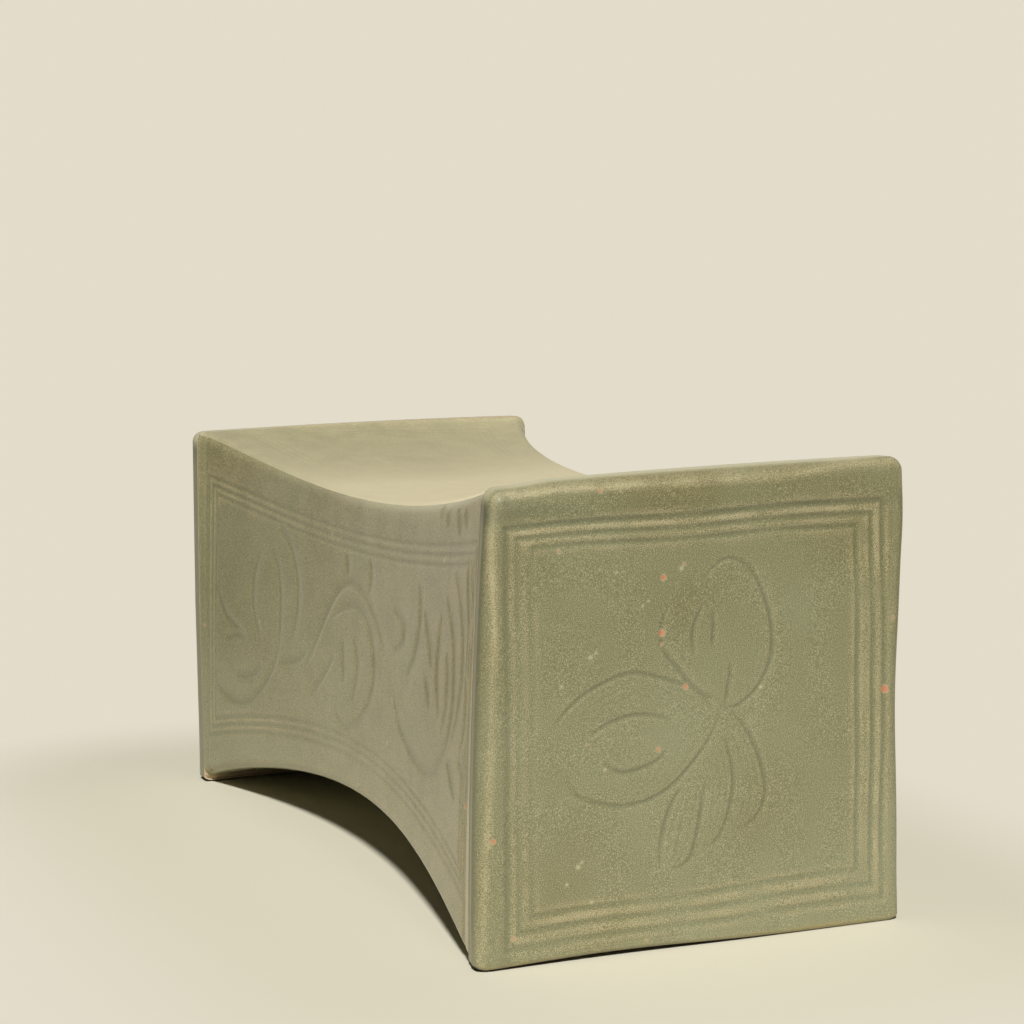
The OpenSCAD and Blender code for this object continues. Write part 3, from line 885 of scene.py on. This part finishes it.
class PILLOW_OT_headrest(bpy.types.Operator):
    """Build the dipped headrest with its worn borders and sprays"""

    bl_idname = "pillow.headrest"
    bl_label = "Headrest"

    def execute(self, context):
        cuts = context.scene.pillow_cuts
        sprays = [(curve(points) - SPRAY_MIDDLE) * MM * TOP_SHRINK for points in END_SPRAY.values()]
        lines = [line * turn + np.array((at * MM, 0)) for at, turn in TOP_SPRAYS for line in sprays]

        def draw(points, from_front, from_back):
            x, y = points[..., 0], points[..., 1]
            borders = slab_borders(cuts, from_front, from_back, x, cuts.top_depth)
            strokes = incise(x, y, lines, cuts.wall_width, cuts.top_depth, slant=SLANT)
            # The glaze is duller all over, and from the middle on a painted sheen makes it paler and tan;
            # the same ramp raises its satin sheen
            sheen_ramp = held((x + np.clip(y, 0, None) / 2) / (75 * MM) + 1.35)
            return np.maximum(borders, strokes), {
                "thin_and_sheen": 1 + 1.2 * held((x + 20 * MM) / (110 * MM)),
                "fleck_and_highlight": 0.22 + 0.33 * sheen_ramp,
                "polish": 0 * x - 3,
                "sheen_ramp": sheen_ramp,
            }

        make_slab(context, "glazed_headrest", "headrest_slab", HEADREST, TOP_ROWS, draw)
        return {"FINISHED"}


class PILLOW_OT_walls(bpy.types.Operator):
    """Build the waisted front and back walls with their borders and slanting sprays"""

    bl_idname = "pillow.walls"
    bl_label = "Walls"

    def execute(self, context):
        cuts = context.scene.pillow_cuts
        lines = [curve(points) * MM for points in WALL_SPRAYS]
        deep_lines = [curve(points) * MM for points in WALL_DEEP]
        for name, node, side, turn in (
            ("glazed_front_wall", "front_wall", FRONT_WALL, 1),
            ("glazed_back_wall", "back_wall", BACK_WALL, -1),
        ):
            def draw(points, from_first, from_last):
                x, z = points[..., 0] * turn, points[..., 2]
                borders = slab_borders(cuts, from_first, from_last, x, cuts.wall_border)
                strokes = incise(x, z, lines, cuts.wall_width, cuts.wall_depth, slant=SLANT)
                deep = incise(x, z, deep_lines, cuts.wall_width, cuts.deep_stroke, slant=SLANT)
                # By the ends the tool that pressed the joint left a groove, and by the right end a painted
                # highlight runs pale along the last few millimetres
                from_end = SLAB_END - np.abs(x)
                joint = 0.25 * MM * bell(from_end - 3.8 * MM, 0.8 * MM)
                joint_highlight = held(4 - from_end / (0.7 * MM)) * (x > 0)
                # Painted sheen makes the glaze paler and tan towards the right end and a little paler over
                # the middle, and a painted highlight runs pale along the top edge. It is also paler high up
                # by the left and browner by the right end
                towards_right = 0.1 + 0.6 * held((x + 90 * MM) / (100 * MM))
                high = held(z / (20 * MM) - 4) * held(-x / (40 * MM) - 1)
                from_base, from_top = (from_first, from_last)[::turn]
                edge = held(x / (60 * MM) + 0.6) * held(4 - x / (25 * MM))
                edge = edge * bell(from_top, 4 * MM)
                over = held(x / (25 * MM) + 4.2) * held(1.4 - x / (50 * MM))
                flecks = 0.6 * dots(x, z, WALL_FLECKS)
                right_end_brown = 0.22 * held(x / (50 * MM) - 1.2)
                return np.maximum.reduce([borders, joint, strokes, deep]), {
                    "thin_and_sheen": np.maximum(0.8 * ridges(borders), towards_right) + 0.4 * high,
                    "bare": np.maximum(0.5 * bell(from_base, 1.5 * MM), right_end_brown),
                    "pit": dots(x, z, WALL_PITS),
                    "fleck_and_highlight": np.maximum.reduce([flecks, 0.07 * over, 0.35 * edge, 0.45 * joint_highlight]),
                }

            make_slab(context, name, node, side, WALL_ROWS, draw)
        return {"FINISHED"}


class PILLOW_OT_base(bpy.types.Operator):
    """Build the arched base with its vent hole"""

    bl_idname = "pillow.base"
    bl_label = "Base"

    def execute(self, context):
        def draw(points, from_back, from_front):
            plain = 0 * from_back
            return plain, {"bare": plain + 0.05}

        bore = context.scene.pillow_form.vent_diameter / 2
        make_slab(context, "glazed_base", "base_slab", BASE, BASE_ROWS, draw, bore)
        return {"FINISHED"}


class PILLOW_OT_ends(bpy.types.Operator):
    """Build the two end panels with their borders and leaf sprays"""

    bl_idname = "pillow.ends"
    bl_label = "End panels"

    def execute(self, context):
        make_panel(context, "glazed_right_end", "right_end_panel", 1)
        make_panel(context, "glazed_left_end", "left_end_panel", -1)
        return {"FINISHED"}


class PILLOW_OT_seams(bpy.types.Operator):
    """Build the slip in the long mitres and round both ends, just below the glaze"""

    bl_idname = "pillow.seams"
    bl_label = "Slip seams"

    def execute(self, context):
        form = context.scene.pillow_form
        clay = stoneware(context.scene.pillow_glaze)
        x = stations(SEAM_STATIONS)
        outer, inner = section_corners(form, x), inner_corners(form, x)
        # The long slips stop this far below the glaze
        below = 3 * MM
        share = SLIP / math.sqrt(2)
        names = ("front_top_slip", "back_top_slip", "back_base_slip", "front_base_slip")
        for corner, node in enumerate(names):
            before, after = inner[corner - 1], inner[(corner + 1) % 4]
            outline = np.stack([
                outer[corner] + INWARD[corner] * below,
                inner[corner] + unit(after - inner[corner]) * share,
                inner[corner],
                inner[corner] + unit(before - inner[corner]) * share,
            ])
            points = placed(x, outline)
            points[0] = by_hand(form, points[0])
            index = np.arange(4 * len(x)).reshape(4, -1)
            skin = grid_faces(np.vstack([index, index[:1]]))
            points = points.reshape(-1, 3)
            make_piece("fired_" + node, node, points, skin, caps(index), [clay])
        y, z = panel_grid(form)[:2]
        loop = np.column_stack([0 * rim_loop(y), rim_loop(y), rim_loop(z)])
        for end, node in ((1, "right_end_slip"), (-1, "left_end_slip")):
            rings = []
            for sunk, at in ((0.6, SLAB_END), (0.6, PANEL_START), (7, PANEL_START), (7, SLAB_END)):
                rings.append(sink(form, loop, sunk * MM))
                rings[-1][:, 0] = end * at
            points = by_hand(form, np.concatenate(rings))
            index = np.arange(4 * len(loop)).reshape(4, -1)
            index = np.vstack([index, index[:1]])
            skin = grid_faces(np.hstack([index, index[:, :1]]))[:, ::end]
            make_piece("fired_" + node, node, points, skin, [], [clay])
        return {"FINISHED"}


class PILLOW_OT_ropes(bpy.types.Operator):
    """Give the clay ropes in the inside corners, which stay as packed, their bare clay"""

    bl_idname = "pillow.ropes"
    bl_label = "Clay ropes"

    def execute(self, context):
        clay = stoneware(context.scene.pillow_glaze)
        ropes = [node for name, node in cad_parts.items() if name.endswith("_coil")]
        if not ropes:
            raise RuntimeError("The packed model has no clay ropes")
        for rope in ropes:
            rope.data.materials.clear()
            rope.data.materials.append(clay)
        return {"FINISHED"}


class PILLOW_OT_stage(bpy.types.Operator):
    """Set the floor, the backdrop, the soft light and the camera"""

    bl_idname = "pillow.stage"
    bl_label = "Stage"

    def execute(self, context):
        stage = context.scene.pillow_stage
        scene = context.scene
        scene.view_settings.view_transform = "Standard"
        self.add_floor(stage, -scene.pillow_form.foot_sag)
        self.add_light(scene, stage)
        self.add_camera(scene)
        return {"FINISHED"}

    def add_floor(self, stage, level):
        """Round floor: rings whose radius grows as the square, so that they are close by the pillow."""
        turn = np.linspace(0, 2 * math.pi, FLOOR_SPOKES + 1)[:-1]
        reach = np.linspace(0.02, 1, FLOOR_RINGS) ** 2 * stage.paper
        across, along = np.outer(reach, np.cos(turn)), np.outer(reach, np.sin(turn))
        points = np.stack([across, along, np.full(across.shape, level)], -1)
        index = np.arange(across.size).reshape(across.shape)
        faces = grid_faces(np.hstack([index, index[:, :1]]))[:, ::-1].tolist() + [index[0].tolist()]
        mesh = bpy.data.meshes.new("floor")
        mesh.from_pydata(points.reshape(-1, 3).tolist(), [], faces)
        floor = bpy.data.objects.new("floor", mesh)
        bpy.context.scene.collection.objects.link(floor)
        # Matt paper: it keeps the shadow by the footprint and turns into the backdrop's colour farther out
        material = new_material("matt_paper")
        tree = material.node_tree
        paper = add_node(tree, "BsdfDiffuse", {"Color": stage.floor})
        far = add_node(tree, "Emission", {"Color": stage.backdrop, "Strength": 1.0})
        place = add_node(tree, "TexCoord").outputs["Object"]
        footprint = (PANEL_FACE, END_WIDTH / 2, 0)
        spread = add_node(tree, "VectorMath", {0: place}, operation="ABSOLUTE")
        beyond = add_node(tree, "VectorMath", {0: spread, 1: footprint}, operation="SUBTRACT")
        outside = add_node(tree, "VectorMath", {0: beyond}, operation="MAXIMUM")
        gap = add_node(tree, "VectorMath", {0: outside}, operation="LENGTH").outputs["Value"]
        away = add_node(tree, "MapRange", {
            "Value": gap, "From Min": 0.03, "From Max": 0.11}, interpolation_type="SMOOTHSTEP")
        seen = add_node(tree, "LightPath").outputs["Is Camera Ray"]
        share = add_node(tree, "Math", {0: away, 1: seen}, operation="MULTIPLY")
        surface = add_node(tree, "MixShader", {"Fac": share, 1: paper, 2: far})
        add_node(tree, "OutputMaterial", {"Surface": surface})
        mesh.materials.append(material)

    def add_light(self, scene, stage):
        """Even surround with the backdrop in it, and one soft lamp above and beside the camera.

        The camera sees the backdrop all round. Reflections see it only on the far side of the pillow.
        """
        world = bpy.data.worlds.new("surround")
        world.use_nodes = True
        tree = world.node_tree
        tree.nodes.clear()
        path = add_node(tree, "LightPath").outputs
        ray = add_node(tree, "TexCoord").outputs["Generated"]
        ahead = add_node(tree, "VectorMath", {0: ray, 1: BACKDROP_WAY}, operation="DOT_PRODUCT")
        far_side = add_node(tree, "MapRange", {
            "Value": ahead.outputs["Value"], "From Min": 0.4, "From Max": 0.9})
        mirrored = add_node(tree, "Math", {0: far_side, 1: path["Is Glossy Ray"]}, operation="MULTIPLY")
        seen = add_node(tree, "Math", {0: path["Is Camera Ray"], 1: mirrored}, operation="MAXIMUM")
        even = add_node(tree, "Background", {"Color": (1, 1, 1, 1), "Strength": stage.sky})
        shown = add_node(tree, "Background", {"Color": stage.backdrop, "Strength": 1.0})
        surface = add_node(tree, "MixShader", {"Fac": seen, 1: even, 2: shown})
        add_node(tree, "OutputWorld", {"Surface": surface})
        scene.world = world
        lamp = bpy.data.lights.new("soft_lamp", "AREA")
        lamp.shape = "DISK"
        lamp.size = stage.lamp_size
        lamp.energy = stage.lamp
        holder = bpy.data.objects.new("soft_lamp", lamp)
        scene.collection.objects.link(holder)
        holder.matrix_world = looking(stage.lamp_gap * unit(np.array(LAMP_WAY)), np.zeros(3))

    def add_camera(self, scene):
        """Camera at the photograph's angle, from its place, bearing, height and tilt."""
        data = bpy.data.cameras.new("camera")
        data.sensor_width = 36
        data.lens = CAMERA_LENS
        camera = bpy.data.objects.new("camera", data)
        scene.collection.objects.link(camera)
        bearing, height, tilt = (math.radians(angle) for angle in CAMERA_ANGLES)
        turn = Matrix.Rotation(bearing, 4, "Z") @ Matrix.Rotation(math.pi / 2 - height, 4, "X")
        camera.matrix_world = Matrix.Translation(CAMERA_PLACE) @ turn @ Matrix.Rotation(tilt, 4, "Z")
        scene.camera = camera


def looking(place, target):
    """Matrix that sets an object at a place with its -Z axis at a target."""
    back = unit(place - target)
    right = unit(np.cross((0, 0, 1), back))
    rows = np.stack([right, np.cross(back, right), back, place], 1)
    return Matrix([*rows.tolist(), (0, 0, 0, 1)])


class PILLOW_PT_sidebar(bpy.types.Panel):
    """List the pillow's pieces and their sizes and colours"""

    bl_idname = "PILLOW_PT_sidebar"
    bl_label = "Celadon pillow"
    bl_space_type = "VIEW_3D"
    bl_region_type = "UI"
    bl_category = "Pillow"

    def draw(self, context):
        for operator in OPERATORS:
            self.layout.operator(operator.bl_idname)
        for group in GROUPS:
            settings = getattr(context.scene, group)
            for key in settings.__annotations__:
                self.layout.prop(settings, key)


GROUPS = {
    "pillow_form": PillowForm,
    "pillow_cuts": PillowCuts,
    "pillow_glaze": PillowGlaze,
    "pillow_stage": PillowStage,
}
OPERATORS = (
    PILLOW_OT_headrest,
    PILLOW_OT_walls,
    PILLOW_OT_base,
    PILLOW_OT_ends,
    PILLOW_OT_seams,
    PILLOW_OT_ropes,
    PILLOW_OT_stage,
)


def register():
    """Register the classes and hang each group of settings on the scene."""
    for cls in (*GROUPS.values(), *OPERATORS, PILLOW_PT_sidebar):
        bpy.utils.register_class(cls)
    for key, group in GROUPS.items():
        setattr(bpy.types.Scene, key, bpy.props.PointerProperty(type=group))


def unregister():
    """Undo register."""
    for key in GROUPS:
        delattr(bpy.types.Scene, key)
    for cls in (PILLOW_PT_sidebar, *reversed(OPERATORS), *reversed(GROUPS.values())):
        bpy.utils.unregister_class(cls)


def main():
    register()
    bpy.ops.pillow.headrest()
    bpy.ops.pillow.walls()
    bpy.ops.pillow.base()
    bpy.ops.pillow.ends()
    bpy.ops.pillow.seams()
    bpy.ops.pillow.ropes()
    bpy.ops.pillow.stage()


if __name__ == "__main__":
    main()
